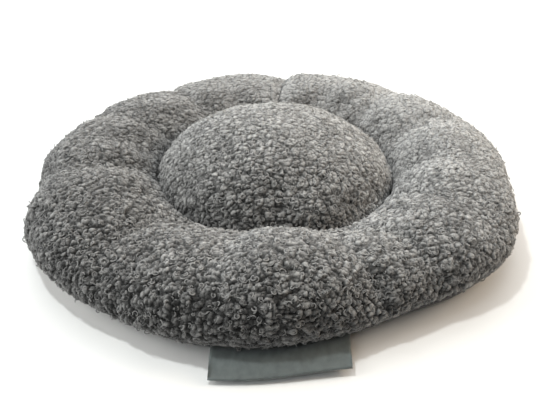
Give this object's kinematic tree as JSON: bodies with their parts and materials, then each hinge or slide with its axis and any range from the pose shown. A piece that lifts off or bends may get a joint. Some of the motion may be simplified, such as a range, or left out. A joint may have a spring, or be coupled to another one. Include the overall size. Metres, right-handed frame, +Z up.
{
  "type": "round fleece pet bed",
  "caption": "Round pet bed of curly fleece with a stuffed rim, a domed stuffed centre pad and a folded tab at its edge.",
  "frame": {"origin": "middle of the flat underside, on the surface that the bed stands on", "axes": "+Z up out of the bed; -Y towards the side with the tab; +X to the right as seen from the tab's side"},
  "size_m": [0.5018, 0.516, 0.088],
  "materials": {
    "fleece": "curly short-pile fleece, matt, mid grey",
    "base_cloth": "smooth woven base cloth, matt, dark grey",
    "tab_cloth": "brushed woven tape, soft satin, bluish grey"
  },
  "bodies": {
    "root": {"rim": "fleece", "centre_pad": "fleece", "base_cloth": "base_cloth", "tab": "tab_cloth"}
  },
  "joints": []
}
